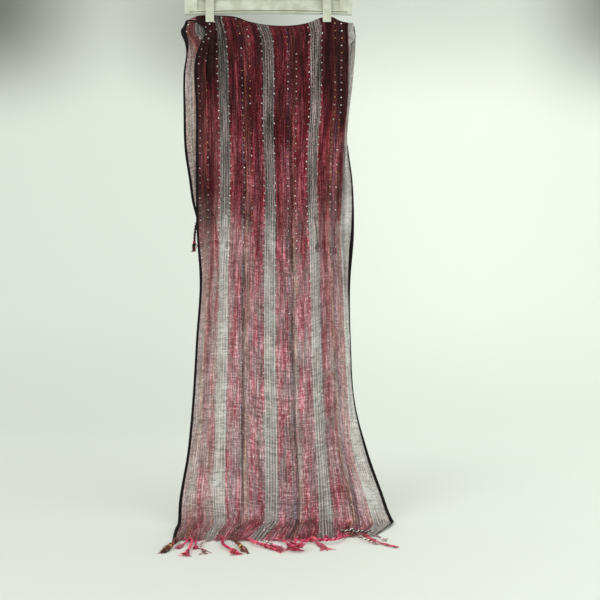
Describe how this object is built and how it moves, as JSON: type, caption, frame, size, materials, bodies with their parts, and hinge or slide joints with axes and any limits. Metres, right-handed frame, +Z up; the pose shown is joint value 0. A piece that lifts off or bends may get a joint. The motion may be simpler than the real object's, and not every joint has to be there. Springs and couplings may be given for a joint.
{
  "type": "woven scarf on a clip hanger",
  "caption": "Long gauze scarf with warp stripes and a knotted fringe, doubled over under a two-clip hanger, its long end turning onto the floor.",
  "frame": {"origin": "inside top of the hanger's hook, where a rail carries it", "axes": "+Z up, +X to the viewer's right across the scarf, -Y towards the viewer of the front"},
  "size_m": [0.4633, 0.3413, 1.2292],
  "materials": {
    "white_plastic": "moulded off-white plastic, slightly worn, low gloss",
    "striped_gauze": "loose plain-weave gauze, see-through, space-dyed crimson, maroon and brown warp with pale grey stripes",
    "striped_gauze_behind": "the same gauze, lying behind the front",
    "black_edge_thread": "dense black selvedge with an overlocked look",
    "tassel_yarn": "knotted and twisted warp yarn, crimson, coral, pink, brown and gold"
  },
  "bodies": {
    "root": {"hanger_bar": "white_plastic", "hanger_hook": "white_plastic", "clip_left": "white_plastic", "clip_right": "white_plastic", "cloth_front_fall": "striped_gauze", "margin_turned_under": "striped_gauze", "cloth_back_fall": "striped_gauze_behind", "edge_front_left": "black_edge_thread", "edge_front_right": "black_edge_thread", "edge_back_left": "black_edge_thread", "edge_back_right": "black_edge_thread", "fringe_front_hem": "tassel_yarn", "fringe_back_hem": "tassel_yarn"}
  },
  "joints": []
}
